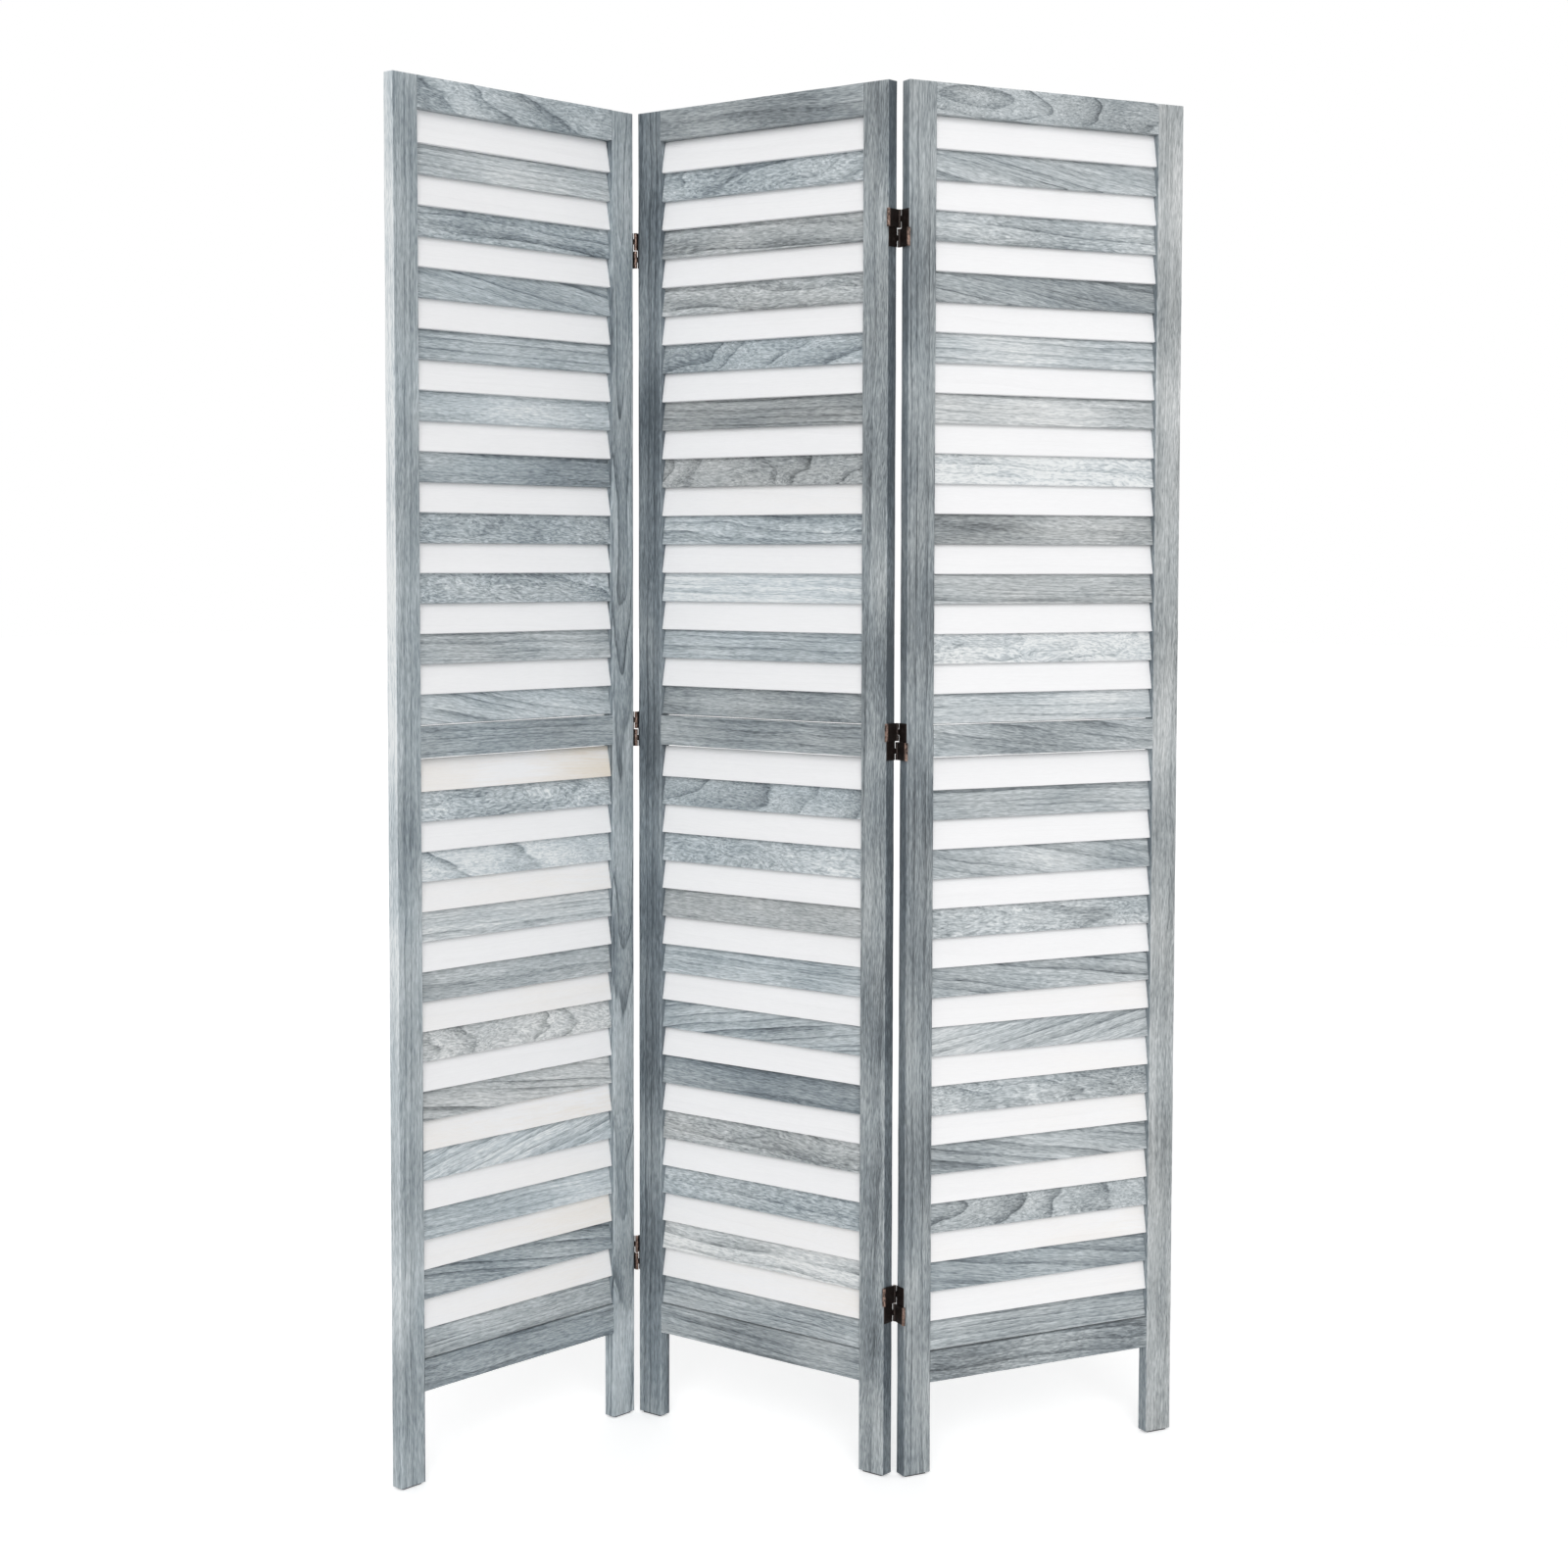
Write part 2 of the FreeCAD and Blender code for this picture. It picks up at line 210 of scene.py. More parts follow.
def boards(name, panel, node, centres, axes, size, ease, codes, seed, material, spacing=40 * mm,
           painted_side_tone=plain_sides, painted_side_fade=None, blotch=0.0):
    """One piece made of eased boards, in place of a CAD node.

    Each board is the eased section carried along its length, drawn in at both ends. A worn edge wavers by two
    sines along the length, and the tone swells by two slower ones, by the share given as blotch. Every point
    also carries its place in the tree (across, depth, along), the ring layout, the board's look and how near
    it is to an edge. The look's tone also holds painted light and shade: given sides are painted paler or
    darker, faded in along the board where a fade is given, the painted dark sides turn bluish, and a pale
    patch at the foot of a stile is painted light.
    """
    length, width, thickness = size
    section, outward, edge, side = eased_profile(width, thickness, ease, edge_strip)
    along, inset, near_end = stations(length, end_ease_share * ease, edge_strip, spacing)
    rings, tone, hue, patch, apart, phase = board_looks(codes, seed)
    n, m, p = len(codes), len(along), len(section)

    s = along[None, :, None] - length / 2
    slow, quick = waver_waves
    slow_waver = np.sin(slow * s + phase[:, :1, None])
    quick_waver = np.sin(quick * s + phase[:, 1:2, None] + 2 * side)
    waver = waver_size * (slow_waver + quick_waver)
    draw = inset[None, :, None] - waver * edge
    t = section[:, 0] - outward[:, 0] * draw
    d = section[:, 1] - outward[:, 1] * draw
    s = np.broadcast_to(s, t.shape)

    run, up, out = (np.asarray(axis, float).reshape(-1, 1, 1, 3) for axis in axes)
    place = np.asarray(centres, float).reshape(-1, 1, 1, 3)
    points = place + run * s[..., None] + up * t[..., None] + out * d[..., None]
    points = turned(points.reshape(-1, 3), panel, 1)

    heart = rings[:, :, None, None]
    grain = np.stack([t + heart[:, 0] + heart[:, 2] * s, d - thickness / 2 + heart[:, 1] + heart[:, 3] * s,
                      s + apart[:, None, None]], -1)
    figure = np.broadcast_to(rings[:, None, None, 4:7], (n, m, p, 3))
    share = s / length + 0.5
    # Painted light and shade: given sides of the board made paler or darker, faded in along it where a fade
    # is given.
    painted_side_shift = np.array(painted_side_tone, float)[side]
    fade = 1.0
    if painted_side_fade is not None:
        fade = np.clip((share - painted_side_fade[0]) / (painted_side_fade[1] - painted_side_fade[0]), 0, 1)
    where, reach, depth = (patch[:, k, None, None] for k in range(3))
    slow, quick = swell_waves
    slow_swell = np.sin(slow * s + phase[:, 2:3, None])
    quick_swell = np.sin(quick * s + phase[:, 3:, None])
    swell = blotch * (slow_swell + quick_swell)
    # Patches: the board's own darker or paler places, and painted light at a stile's foot.
    patch_tone_and_painted_light = depth * np.exp(-((share - where) / reach) ** 2)
    # Sides darkened as painted shade turn bluish.
    painted_shade_hue = np.where(painted_side_shift < 0, painted_shade_side_hue, 1.0)
    look = np.stack([tone[:, None, None] + painted_side_shift * fade + swell + patch_tone_and_painted_light,
                     hue[:, None, None] * painted_shade_hue * np.ones((n, m, p)), share], -1)
    wear = np.broadcast_to(np.maximum(edge, near_end[:, None]), (n, m, p))

    ring = np.arange(p)
    after = (ring + 1) % p
    row = (np.arange(m - 1) * p)[:, None]
    quads = np.stack([row + ring, row + after, row + p + after, row + p + ring], -1).reshape(-1, 4)
    first = (np.arange(n) * m * p)[:, None, None]
    walls = (first + quads).reshape(-1, 4)
    ends = np.stack([ring[::-1], (m - 1) * p + ring])
    caps = (first + ends).reshape(-1, p)
    return made_piece(name, panel, points, walls.tolist() + caps.tolist(), material, node,
                      {"grain": grain, "figure": figure, "look": look, "wear": wear}, flat_faces=len(caps))


def made_piece(name, body, points, faces, material, nodes, attributes=None, flat_faces=0):
    """A mesh piece at the origin, riding on a body, with smooth faces apart from the last few."""
    mesh = bpy.data.meshes.new(name)
    mesh.from_pydata(points.tolist(), [], faces)
    smooth = np.arange(len(faces)) < len(faces) - flat_faces
    mesh.polygons.foreach_set("use_smooth", smooth)
    for key, values in (attributes or {}).items():
        kind, field = ("FLOAT", "value") if key == "wear" else ("FLOAT_VECTOR", "vector")
        layer = mesh.attributes.new(key, kind, "POINT")
        layer.data.foreach_set(field, np.ascontiguousarray(values, np.float32).ravel())
    mesh.materials.append(material)
    mesh.update()
    piece = bpy.data.objects.new(name, mesh)
    scene.collection.objects.link(piece)
    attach(piece, body)
    if nodes:
        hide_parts(*([nodes] if isinstance(nodes, str) else nodes))
    return piece


# Materials

def paint(red, green, blue):
    """A colour as the eye names it, 0 to 255, in the linear values that shaders use."""
    c = np.array([red, green, blue]) / 255
    linear = np.where(c <= 0.04045, c / 12.92, ((c + 0.055) / 1.055) ** 2.4)
    return (*linear.tolist(), 1.0)


class Bench:
    """Adds nodes to one shader tree and wires a number, a colour or another node's output to each input."""

    def __init__(self, tree):
        self.tree = tree

    def add(self, kind, inputs=(), **settings):
        node = self.tree.nodes.new(kind)
        for key, value in settings.items():
            setattr(node, key, value)
        for key, value in dict(inputs).items():
            self.wire(value, node.inputs[key])
        return node

    def put(self, kind, inputs=(), out=0, **settings):
        return self.add(kind, inputs, **settings).outputs[out]

    def wire(self, value, socket):
        if isinstance(value, bpy.types.NodeSocket):
            self.tree.links.new(value, socket)
        else:
            socket.default_value = value

    def math(self, operation, *values):
        return self.put("ShaderNodeMath", dict(enumerate(values)), operation=operation)

    def vector(self, operation, a, b):
        return self.put("ShaderNodeVectorMath", {0: a, 1: b}, operation=operation)

    def scaled(self, vector, scale):
        return self.put("ShaderNodeVectorMath", {0: vector, "Scale": scale}, operation="SCALE")

    def noise(self, place, scale, detail=2.0, rough=0.5, out=0):
        return self.put("ShaderNodeTexNoise", {"Vector": self.vector("MULTIPLY", place, scale), "Scale": 1.0,
                                               "Detail": detail, "Roughness": rough}, out=out)

    def span(self, value, low, high, to_low=0.0, to_high=1.0, shape="LINEAR"):
        return self.put("ShaderNodeMapRange", {"Value": value, "From Min": low, "From Max": high,
                                               "To Min": to_low, "To Max": to_high}, interpolation_type=shape)

    def bump(self, height, strength, distance):
        return self.put("ShaderNodeBump", {"Height": height, "Strength": strength, "Distance": distance})

    def attribute(self, name, out="Vector"):
        return self.put("ShaderNodeAttribute", out=out, attribute_name=name)

    def ramp(self, value, stops):
        node = self.tree.nodes.new("ShaderNodeValToRGB")
        bar = node.color_ramp.elements
        while len(bar) < len(stops):
            bar.new(0.5)
        for mark, (at, colour) in zip(bar, stops):
            mark.position, mark.color = at, colour if isinstance(colour, tuple) else (colour,) * 3 + (1.0,)
        self.wire(value, node.inputs[0])
        return node.outputs[0]

    def mix(self, factor, a, b):
        node = self.tree.nodes.new("ShaderNodeMix")
        node.data_type = "RGBA"
        for value, socket in ((factor, node.inputs[0]), (a, node.inputs[6]), (b, node.inputs[7])):
            self.wire(value, socket)
        return node.outputs[2]


def shader_group(name, takes, gives):
    """An empty node group with named inputs and outputs, with its bench, input sockets and output node."""
    tree = bpy.data.node_groups.new(name, "ShaderNodeTree")
    for key, kind in takes.items():
        tree.interface.new_socket(key, in_out="INPUT", socket_type="NodeSocket" + kind)
    for key, kind in gives.items():
        tree.interface.new_socket(key, in_out="OUTPUT", socket_type="NodeSocket" + kind)
    entry, finish = tree.nodes.new("NodeGroupInput"), tree.nodes.new("NodeGroupOutput")
    return tree, Bench(tree), entry.outputs, finish.inputs


def make_wood_figure():
    """Growth rings, flecks and streaks of a light, wide-ringed wood.

    The place in the tree is bent by a slow and a quick noise, more where the grain is curly. The distance
    from the tree's heart over the ring width gives the ring, whose line darkens slowly and ends at once.
    Flecks, pores and streaks are noises drawn out along the grain.
    """
    tree, b, takes, gives = shader_group(
        "wood_figure", {"Grain": "Vector", "Ring Width": "Float", "Curl": "Float"},
        {"Ring Line": "Float", "Flecks": "Float", "Mottle": "Float", "Pores": "Float", "Streaks": "Float",
         "Clouds": "Float"})
    grain, width, curl = takes["Grain"], takes["Ring Width"], takes["Curl"]
    half = (0.5, 0.5, 0.5)
    slow = b.vector("SUBTRACT", b.noise(grain, (26, 26, 6.5), 1.5, out=1), half)
    quick = b.vector("SUBTRACT", b.noise(grain, (80, 80, 34), 2.0, out=1), half)
    reach = b.math("MULTIPLY_ADD", curl, 0.046, 0.006)
    short_reach = b.math("MULTIPLY_ADD", curl, 0.010, 0.0002)
    bent = b.vector("ADD", grain, b.scaled(slow, reach))
    ragged = b.vector("ADD", bent, b.vector("MULTIPLY", quick, (0.0008, 0.0008, 0.0)))
    across = b.vector("MULTIPLY", ragged, (1, 1, 0))
    bent = b.vector("ADD", bent, b.scaled(quick, short_reach))
    radius = b.put("ShaderNodeVectorMath", {0: across}, out=1, operation="LENGTH")
    count = b.math("DIVIDE", radius, width)
    uneven = b.put("ShaderNodeTexNoise", {"W": b.math("MULTIPLY", count, 0.8), "Scale": 1.0, "Detail": 0.0},
                   noise_dimensions="1D")
    count = b.math("MULTIPLY_ADD", b.math("SUBTRACT", uneven, 0.5), 1.1, count)
    ring = b.math("FRACT", count)
    line = b.ramp(ring, [(0.0, 1.0), (0.025, 0.3), (0.06, 0.0), (0.40, 0.04), (0.70, 0.22), (0.90, 0.55),
                         (1.0, 1.0)])
    break_up = b.span(b.noise(bent, (40, 40, 9), 1.0), 0.35, 0.65, 0.35, 1.0)
    b.wire(b.math("MULTIPLY", line, break_up), gives["Ring Line"])
    b.wire(b.span(b.noise(bent, (1100, 1100, 80), 1.0, 0.5), 0.36, 0.64, -1.0, 1.0), gives["Flecks"])
    mottle = b.span(b.noise(bent, (430, 430, 105), 1.5, 0.5), 0.36, 0.64, -1.0, 1.0)
    b.wire(b.math("MULTIPLY", mottle, b.span(curl, 0.08, 0.6, 0.15, 1.0)), gives["Mottle"])
    b.wire(b.span(b.noise(bent, (1100, 1100, 95), 1.0, 0.5), 0.52, 0.70, shape="SMOOTHSTEP"), gives["Pores"])
    b.wire(b.span(b.noise(bent, (480, 480, 6), 3.0, 0.6), 0.3, 0.7, -1.0, 1.0), gives["Streaks"])
    b.wire(b.span(b.noise(grain, (24, 24, 7), 2.0, 0.5), 0.3, 0.7, -1.0, 1.0), gives["Clouds"])
    return tree


def make_edge_wear():
    """Worn edges: how near a point is to an edge, broken up by noise along the edge."""
    tree, b, takes, gives = shader_group("edge_wear", {"Wear": "Float", "Place": "Vector"}, {"Rub": "Float"})
    patchy = b.span(b.noise(takes["Place"], (45, 45, 45), 3.0, 0.6), 0.35, 0.68)
    b.wire(b.math("MULTIPLY", b.math("POWER", takes["Wear"], 1.6), patchy), gives["Rub"])
    return tree


wood_figure = make_wood_figure()
edge_wear = make_edge_wear()


def new_material(name):
    """A material with its bench and its shader, wired to the output."""
    material = bpy.data.materials.new(name)
    material.use_nodes = True
    shader = material.node_tree.nodes["Principled BSDF"]
    return material, Bench(material.node_tree), shader


def use_group(b, tree, **inputs):
    """Places a node group and wires its inputs; names are given with _ for a space."""
    node = b.tree.nodes.new("ShaderNodeGroup")
    node.node_tree = tree
    for key, value in inputs.items():
        b.wire(value, node.inputs[key.replace("_", " ")])
    return node.outputs


def board_reading(b):
    """What the boards carry: place in the tree, ring layout (width, curl, line strength), look (tone, hue,
    place along) and nearness to an edge."""
    grain = b.attribute("grain")
    figure = b.add("ShaderNodeSeparateXYZ", {0: b.attribute("figure")})
    look = b.add("ShaderNodeSeparateXYZ", {0: b.attribute("look")})
    wear = b.attribute("wear", "Fac")
    return grain, figure.outputs, look.outputs, wear


def make_grey_washed_wood():
    """Grey wash: the tone of the board, lifted and lowered by clouds, streaks and flecks and cut by ring
    lines, looked up in a bluish and in a neutral row of greys."""
    material, b, shader = new_material("grey_washed_wood")
    grain, figure, look, wear = board_reading(b)
    wood = use_group(b, wood_figure, Grain=grain, Ring_Width=figure[0], Curl=figure[1])
    rub = use_group(b, edge_wear, Wear=wear, Place=grain)["Rub"]
    # The board's tone, holding the painted light and shade of its sides and of a stile's foot.
    tone = look[0]
    for part, share in ((wood["Clouds"], 0.07), (wood["Streaks"], 0.115), (wood["Flecks"], 0.105),
                        (wood["Mottle"], 0.14), (rub, 0.08)):
        tone = b.math("MULTIPLY_ADD", part, share, tone)
    tone = b.math("MULTIPLY_ADD", wood["Pores"], -0.105, tone)
    tone = b.math("MULTIPLY_ADD", b.math("MULTIPLY", wood["Ring Line"], figure[2]), -0.44, tone)
    cool = b.ramp(tone, [(0.0, paint(76, 84, 90)), (0.25, paint(116, 126, 133)), (0.5, paint(156, 166, 171)),
                         (0.75, paint(194, 203, 208)), (1.0, paint(230, 234, 235))])
    plain = b.ramp(tone, [(0.0, paint(84, 86, 86)), (0.25, paint(124, 127, 127)), (0.5, paint(163, 166, 166)),
                          (0.75, paint(200, 202, 202)), (1.0, paint(232, 233, 232))])
    hue = b.math("MULTIPLY_ADD", wood["Clouds"], 0.15, look[1])
    b.wire(b.mix(hue, cool, plain), shader.inputs["Base Color"])
    b.wire(b.span(wood["Flecks"], -1, 1, 0.72, 0.58), shader.inputs["Roughness"])
    height = b.math("MULTIPLY_ADD", wood["Ring Line"], -0.5, b.math("MULTIPLY", wood["Pores"], -0.6))
    height = b.math("MULTIPLY_ADD", wood["Flecks"], 0.25, height)
    b.wire(b.bump(height, 0.35, 0.4 * mm), shader.inputs["Normal"])
    shader.inputs["Specular IOR Level"].default_value = 0.3
    return material


def make_white_washed_wood():
    """White wash: nearly even white, with the figure showing through faintly and warm patches where it is
    thin."""
    material, b, shader = new_material("white_washed_wood")
    grain, figure, look, wear = board_reading(b)
    wood = use_group(b, wood_figure, Grain=grain, Ring_Width=figure[0], Curl=figure[1])
    rub = use_group(b, edge_wear, Wear=wear, Place=grain)["Rub"]
    tone = 0.62
    for part, share in ((wood["Clouds"], 0.05), (wood["Streaks"], 0.06), (wood["Flecks"], 0.06),
                        (rub, -0.06)):
        tone = b.math("MULTIPLY_ADD", part, share, tone)
    tone = b.math("MULTIPLY_ADD", wood["Ring Line"], -0.16, tone)
    white = b.ramp(tone, [(0.0, paint(222, 222, 223)), (0.4, paint(239, 239, 240)),
                          (0.7, paint(244, 244, 245)), (1.0, paint(249, 249, 250))])
    warm = b.ramp(tone, [(0.0, paint(203, 187, 166)), (0.5, paint(226, 214, 197)),
                         (1.0, paint(240, 233, 222))])
    patch = b.span(b.math("MULTIPLY_ADD", wood["Streaks"], 0.6, wood["Clouds"]), -0.9, 0.9)
    thin = b.math("MULTIPLY", b.math("MULTIPLY", look[1], patch), b.span(look[2], 0.2, 0.95, 0.5, 1.5))
    b.wire(b.mix(thin, white, warm), shader.inputs["Base Color"])
    b.wire(b.span(wood["Streaks"], -1, 1, 0.62, 0.50), shader.inputs["Roughness"])
    height = b.math("MULTIPLY_ADD", wood["Ring Line"], -0.4, b.math("MULTIPLY", wood["Pores"], -0.5))
    b.wire(b.bump(height, 0.2, 0.3 * mm), shader.inputs["Normal"])
    shader.inputs["Specular IOR Level"].default_value = 0.3
    return material


barrel_radius, barrel_fade = 2.0 * mm, 2.7 * mm


def make_barrel_rub_and_painted_highlight():
    """Rubbed barrels, partly worn finish and partly painted highlight: one near the three upright lines on
    which a joint's barrels sit, nothing away from them."""
    tree, b, takes, gives = shader_group(
        "barrel_rub_and_painted_highlight", {"Place": "Vector", "Fold": "Vector", "Across": "Vector", "Folded": "Vector"},
        {"Barrel": "Float"})
    level = b.vector("MULTIPLY", takes["Place"], (1, 1, 0))
    gaps = [b.put("ShaderNodeVectorMath", {0: level, 1: takes[key]}, out=1, operation="DISTANCE")
            for key in ("Fold", "Across", "Folded")]
    nearest = b.math("MINIMUM", b.math("MINIMUM", gaps[0], gaps[1]), gaps[2])
    b.wire(b.span(nearest, barrel_radius, barrel_fade, 1.0, 0.0), gives["Barrel"])
    return tree


def make_bronze(name, joint, rubbed):
    """Antique bronze: dark brown lacquer with blotches and fine scratches, rubbed to copper on the barrels,
    partly worn finish and partly painted highlight, and elsewhere by the share given as rubbed."""
    material, b, shader = new_material(name)
    place = b.put("ShaderNodeTexCoord", out="Object")
    blotch = b.span(b.noise(place, (90, 90, 90), 4.0, 0.6), 0.3, 0.7)
    spots = b.noise(place, (420, 420, 240), 3.0, 0.6)
    scratch = b.noise(place, (1500, 1500, 60), 2.0, 0.5)
    lines = barrel_lines(joint)
    barrel = use_group(b, barrel_rub_and_painted_highlight, Place=place, Fold=lines[0], Across=lines[1], Folded=lines[2])["Barrel"]
    # Bare copper: worn finish, and on the barrels also painted highlight.
    bare_wear_and_painted_highlight = b.math("MULTIPLY", b.span(spots, 0.36, 0.62), b.span(barrel, 0, 1, rubbed, 0.9))
    lacquer = b.mix(blotch, paint(48, 41, 39), paint(34, 29, 28))
    copper = b.mix(blotch, paint(190, 162, 148), paint(152, 122, 108))
    b.wire(b.mix(bare_wear_and_painted_highlight, lacquer, copper), shader.inputs["Base Color"])
    b.wire(b.span(b.math("ADD", blotch, scratch), 0.3, 1.6, 0.30, 0.52), shader.inputs["Roughness"])
    b.wire(b.bump(scratch, 0.15, 0.2 * mm), shader.inputs["Normal"])
    shader.inputs["Metallic"].default_value = 0.7
    return material


def barrel_lines(joint):
    """Where a joint's barrels sit at rest, seen from above: on the fold line, across the frame's thickness
    from it on the middle panel, and the same place on the folded panel. A fold line at the back sits in a
    shaded gap and is left unrubbed as painted shade, so there the line across is given twice."""
    x, y = joint["pos_m"][:2]
    low, high = flat_box("middle_panel", "middle_panel_top_rail")
    across = (x, low[1] + high[1] - y, 0.0)
    folded = turned(np.array([across]), joint["child"], 1)[0]
    fold_line = across if y > across[1] else (x, y, 0.0)
    return fold_line, across, (folded[0], folded[1], 0.0)


def make_felt():
    """Dark felt: a fine tangle of fibres with uneven colour and a rough, fuzzy surface."""
    material, b, shader = new_material("felt_pad")
    place = b.put("ShaderNodeTexCoord", out="Object")
    fibre = b.noise(place, (900, 900, 900), 6.0, 0.7)
    clump = b.noise(place, (140, 140, 140), 3.0, 0.5)
    b.wire(b.ramp(b.math("MULTIPLY_ADD", clump, 0.4, b.math("MULTIPLY", fibre, 0.6)),
                  [(0.3, paint(38, 39, 41)), (0.7, paint(78, 80, 83))]), shader.inputs["Base Color"])
    b.wire(b.span(fibre, 0.3, 0.7, 0.85, 1.0), shader.inputs["Roughness"])
    b.wire(b.bump(fibre, 0.6, 0.4 * mm), shader.inputs["Normal"])
    shader.inputs["Sheen Weight"].default_value = 0.3
    return material


grey_wash = make_grey_washed_wood()
white_wash = make_white_washed_wood()
barrel_rub_and_painted_highlight = make_barrel_rub_and_painted_highlight()
leaf_rub, pin_rub = 0.04, 0.5
bronze, pin_metal = {}, {}
for joint in frame["joints"]:
    panel = joint["child"]
    key = panel.split("_")[0]
    bronze[key] = make_bronze(panel.replace("panel", "hinge_bronze"), joint, leaf_rub)
    pin_metal[key] = make_bronze(panel.replace("panel", "hinge_pin_metal"), joint, pin_rub)
felt = make_felt()


# The panels

# A stile code ending in _ takes the patch of painted light at the stile's foot.
panel_looks = {
    "left_panel": {
        "left_stile": "hub", "right_stile": "hvb_",
        "top_rail": "lab", "middle_rail": "msb", "bottom_rail": "mpb<",
        "upper_grey_slats": "vsg lwb lfb lsb ppb hpb> hcb lcb lsg vfb",
        "lower_grey_slats": "vcb qab psg lpg pbn vfn prb psb< hfb lsg",
        "upper_white_slats": "s0 p0 s0 w0 s0 p0 s0 p0 s0 p0",
        "lower_white_slats": "p6 s0 w2 s0 p2 s0 w5 p1 w3 s2"},
    "middle_panel": {
        "left_stile": "kub_", "right_stile": "dpg",
        "top_rail": "dpg", "middle_rail": "msg", "bottom_rail": "msg",
        "upper_grey_slats": "lcb lwn vwn vab< msn hbn vwb qsb lsb mpg",
        "lower_grey_slats": "lbb vcb lpn vsb lrb dpb lwn lwb qwn lsg",
        "upper_white_slats": "p0 s0 p0 s0 w0 p0 w1 s0 p0 s0",
        "lower_white_slats": "s0 p0 s0 w0 p0 s0 s0 p0 w1 p2"},
    "right_panel": {
        "left_stile": "mug=", "right_stile": "hpn",
        "top_rail": "log", "middle_rail": "hfg", "bottom_rail": "dwg",
        "upper_grey_slats": "vfg^ vwg hfg> psg psn xwg hpn< vsn qcg psg",
        "lower_grey_slats": "lsg vfg vcg lfg vrg vcg> lfg lbg mfb lsg",
        "upper_white_slats": "s0 p0 s0 w0 p0 s0 p0 s0 p0 s0",
        "lower_white_slats": "p0 s0 p0 w0 s1 p1 s1 p1 w2 s1"},
}
# Painted light and shade on the sides of some stiles: how much paler or darker each side is made, for the
# left edge, front, right edge, back.
painted_edge_light_and_shade = {
    "left_panel_left_stile": (0.40, 0, 0, 0),
    "left_panel_right_stile": (-0.12, 0, 0, 0),
    "middle_panel_right_stile": (0, 0, -0.30, 0),
    "right_panel_left_stile": (-0.14, 0, 0, 0),
    "right_panel_right_stile": (-0.20, 0, 0, 0),
}
# Where along the stile that painted light sets in, as shares of its length.
painted_edge_light_fades = {"left_panel_left_stile": (0.05, 0.6)}
level_axes = ((1, 0, 0), (0, 0, 1), (0, -1, 0))
upright_axes = ((0, 0, 1), (-1, 0, 0), (0, -1, 0))
stile_ease, rail_ease, slat_ease = 1.1 * mm, 0.5 * mm, 0.6 * mm
stile_spacing = 30 * mm
slat_reach = 4 * mm
frame_blotch, slat_blotch = 0.05, 0.03

for number, (panel, looks) in enumerate(panel_looks.items()):
    inner = [flat_box(panel, f"{panel}_left_stile")[1][0], flat_box(panel, f"{panel}_right_stile")[0][0]]
    opening = inner[1] - inner[0]
    for order, (part, look) in enumerate(looks.items()):
        node, seed = f"{panel}_{part}", 100 * number + order
        low, high = flat_box(panel, node)
        centre, extent = (low + high) / 2, high - low
        if part.endswith("stile"):
            size = (extent[2], extent[0], extent[1])
            piece = boards(f"{node}_board", panel, node, [centre], upright_axes, size, stile_ease, [look],
                           seed, grey_wash, stile_spacing, painted_edge_light_and_shade.get(node, plain_sides),
                           painted_edge_light_fades.get(node), frame_blotch)
        elif part.endswith("rail"):
            size = (opening, extent[2], extent[1])
            piece = boards(f"{node}_board", panel, node, [centre], level_axes, size, rail_ease, [look],
                           seed, grey_wash, blotch=frame_blotch)
        else:
            corners = slat_corners(panel, node)
            middle = corners.mean(1)
            upward, forward = corners[:, 3] - corners[:, 1], corners[:, 1] - corners[:, 0]
            width, thickness = (float(np.linalg.norm(v, axis=1).mean()) for v in (upward, forward))
            zero = np.zeros((len(corners), 1))
            axes = ((1, 0, 0), np.hstack([zero, upward / width]), np.hstack([zero, forward / thickness]))
            centres = np.hstack([zero + sum(inner) / 2, middle])
            size = (opening + 2 * slat_reach, width, thickness)
            white = "white" in part
            piece = boards(f"{node}_boards", panel, node, centres, axes, size, slat_ease, look.split(), seed,
                           white_wash if white else grey_wash, blotch=0.0 if white else slat_blotch)

for name, node in frame["nodes"].items():
    key = name.split("_")[0]
    finish = felt if "foot_pad" in name else None
    if "hinge" in name:
        finish = pin_metal[key] if "pins" in name else bronze[key]
    if finish:
        for slot in node.material_slots:
            slot.material = finish


# Hinge screws

leaf_thickness = 1.1 * mm
screw_radius, screw_rise, screw_sink = 2.1 * mm, 0.16 * mm, 0.3 * mm
screw_heights = (-13 * mm, 13 * mm)
cross_half_width, cross_reach, cross_depth = 0.16, 0.5, 0.6
hinge_spacing = 0.1


def screw_head(radius, rise, sink):
    """A countersunk head with a cross cut in it, facing +X, on a grid of rings and angles.

    The top is a low dome, rise times one less the square of the radius, cut down where the point lies near
    one of two crossed lines inside half the radius. The rim then drops and closes below the face.
    """
    share = np.array([0.08, 0.2, 0.34, 0.46, 0.56, 0.75, 0.93, 1.0, 1.0, 0.6])
    angle = np.radians(np.arange(0, 360, 15))
    u, v = (np.multiply.outer(share, f(angle)) for f in (np.cos, np.sin))
    slot = (np.minimum(abs(u), abs(v)) < cross_half_width) & (share[:, None] < cross_reach)
    top = np.where(slot, -cross_depth * sink, rise * (1 - np.multiply.outer(share ** 2, np.ones(len(angle)))))
    top[-2:] = -sink
    return np.stack([top, u * radius, v * radius], -1)


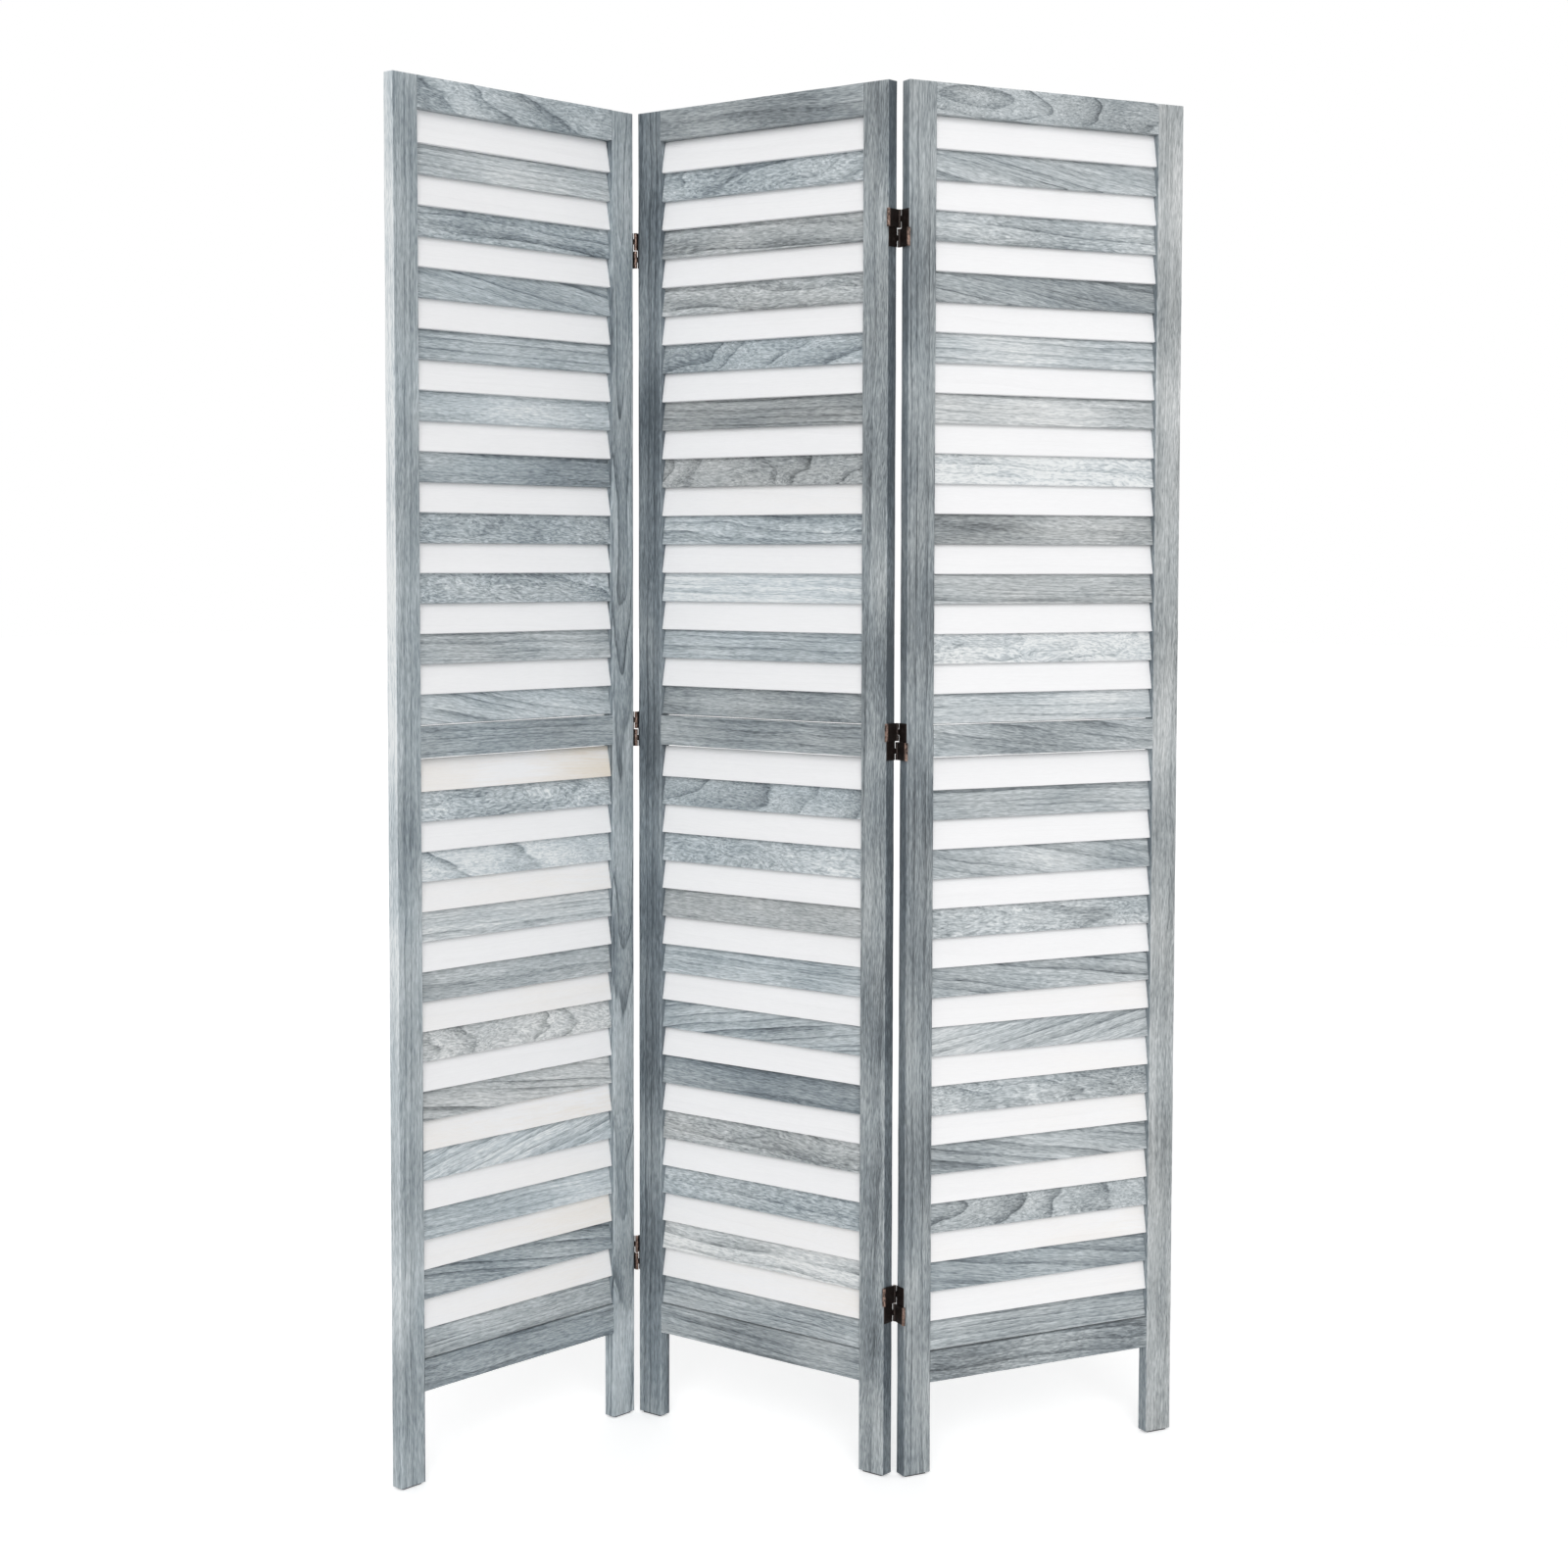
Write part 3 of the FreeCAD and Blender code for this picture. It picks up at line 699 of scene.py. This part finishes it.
def hinge_screws(panel, leaves, way):
    """The screws of one joint's leaves on one panel: two heads on each leaf, on its face away from the
    stile."""
    points = flat_points(panel, leaves)
    z = np.sort(points[:, 2])
    hinges = np.split(z, np.nonzero(np.diff(z) > hinge_spacing)[0] + 1)
    low, high = flat_box(panel, f"{panel}_right_stile" if way > 0 else f"{panel}_left_stile")
    mid_y = (low[1] + high[1]) / 2
    face = high[0] + leaf_thickness if way > 0 else low[0] - leaf_thickness
    head = screw_head(screw_radius, screw_rise, screw_sink)
    spots = np.array([(face, mid_y, (h.min() + h.max()) / 2 + step)
                      for h in hinges for step in screw_heights])
    m, p = head.shape[:2]
    head = head * [way, way, 1]
    points = (spots[:, None, None] + head).reshape(-1, 3)
    ring = np.arange(p)
    after = (ring + 1) % p
    row = (np.arange(m - 1) * p)[:, None]
    quads = np.stack([row + ring, row + p + ring, row + p + after, row + after], -1).reshape(-1, 4)
    first = (np.arange(len(spots)) * m * p)[:, None, None]
    ends = np.stack([ring, (m - 1) * p + ring[::-1]])
    faces = (first + quads).reshape(-1, 4).tolist() + (first + ends).reshape(-1, p).tolist()
    piece = made_piece(leaves.replace("leaves", "screws"), panel, turned(points, panel, 1), faces,
                       bronze[leaves.split("_")[0]], None, flat_faces=len(faces))


hinge_screws("left_panel", "left_hinge_outer_leaves", 1)
hinge_screws("middle_panel", "left_hinge_middle_leaves", -1)
hinge_screws("middle_panel", "right_hinge_middle_leaves", 1)
hinge_screws("right_panel", "right_hinge_outer_leaves", -1)


# Floor, lights and camera

floor_reach, floor_drop = 30.0, 0.2 * mm
floor_grey, floor_glow = 0.94, 0.33
pure_white = (1, 1, 1, 1)


def seen_straight(b):
    """One for the camera and for what is seen in metal or through glass, nothing for the light that falls on
    things."""
    path = b.add("ShaderNodeLightPath").outputs
    seen = b.math("ADD", path["Is Camera Ray"], path["Is Glossy Ray"])
    return b.math("MINIMUM", b.math("ADD", seen, path["Is Transmission Ray"]), 1.0)


def make_floor():
    """A wide pale floor: white for the camera where it is fully lit, with the screen's soft shadow left on
    it."""
    mesh = bpy.data.meshes.new("studio_floor")
    signs = ((-1, -1), (1, -1), (1, 1), (-1, 1))
    corners = [(x * floor_reach, y * floor_reach, -floor_drop) for x, y in signs]
    mesh.from_pydata(corners, [], [(0, 1, 2, 3)])
    material = bpy.data.materials.new("studio_floor")
    material.use_nodes = True
    b = Bench(material.node_tree)
    material.node_tree.nodes.clear()
    strength = b.math("MULTIPLY", seen_straight(b), floor_glow)
    glow = b.put("ShaderNodeEmission", {"Color": pure_white, "Strength": strength})
    matt = b.put("ShaderNodeBsdfDiffuse", {"Color": (floor_grey, floor_grey, floor_grey, 1)})
    b.add("ShaderNodeOutputMaterial", {"Surface": b.put("ShaderNodeAddShader", {0: glow, 1: matt})})
    mesh.materials.append(material)
    floor = bpy.data.objects.new("studio_floor", mesh)
    scene.collection.objects.link(floor)


def make_world(strength):
    """Even light from all round; the camera and reflections see it as white."""
    world = bpy.data.worlds.new("studio")
    scene.world = world
    world.use_nodes = True
    world.node_tree.nodes.clear()
    b = Bench(world.node_tree)
    level = b.span(seen_straight(b), 0, 1, strength, 1.0)
    sky = b.put("ShaderNodeBackground", {"Color": pure_white, "Strength": level})
    b.add("ShaderNodeOutputWorld", {"Surface": sky})


def make_sun(name, azimuth, elevation, strength, softness):
    """A soft far light, by where it comes from: azimuth from -Y towards +X, and height above the horizon."""
    light = bpy.data.lights.new(name, "SUN")
    light.energy, light.angle = strength, math.radians(softness)
    lamp = bpy.data.objects.new(name, light)
    a, e = math.radians(azimuth), math.radians(elevation)
    lamp.matrix_world = Matrix.Rotation(a, 4, "Z") @ Matrix.Rotation(math.pi / 2 - e, 4, "X")
    scene.collection.objects.link(lamp)


camera_place = (2.00300, -2.55000, 1.12600)
camera_turn = (-38.443, 3.371, 0.114)
camera_lens, sensor_width, camera_shift = 60.246, 36.0, -0.04375


def make_camera():
    """Camera at the photograph's view: place, then yaw from +Y, pitch down and roll turn the view's axes."""
    yaw, pitch, roll = (math.radians(v) for v in camera_turn)
    ahead = np.array([math.sin(yaw) * math.cos(pitch), math.cos(yaw) * math.cos(pitch), -math.sin(pitch)])
    right = np.array([math.cos(yaw), -math.sin(yaw), 0.0])
    up = np.cross(right, ahead)
    right, up = right * math.cos(roll) + up * math.sin(roll), up * math.cos(roll) - right * math.sin(roll)
    camera = bpy.data.objects.new("camera", bpy.data.cameras.new("camera"))
    camera.data.lens, camera.data.sensor_width, camera.data.shift_y = camera_lens, sensor_width, camera_shift
    axes = Matrix(np.stack([right, up, -ahead], 1).tolist()).to_4x4()
    camera.matrix_world = Matrix.Translation(camera_place) @ axes
    scene.collection.objects.link(camera)
    scene.camera = camera


make_floor()
make_world(strength=0.60)
make_sun("key_light", azimuth=40, elevation=26, strength=1.37, softness=36)
make_sun("back_fill", azimuth=220, elevation=15, strength=0.50, softness=40)
make_camera()
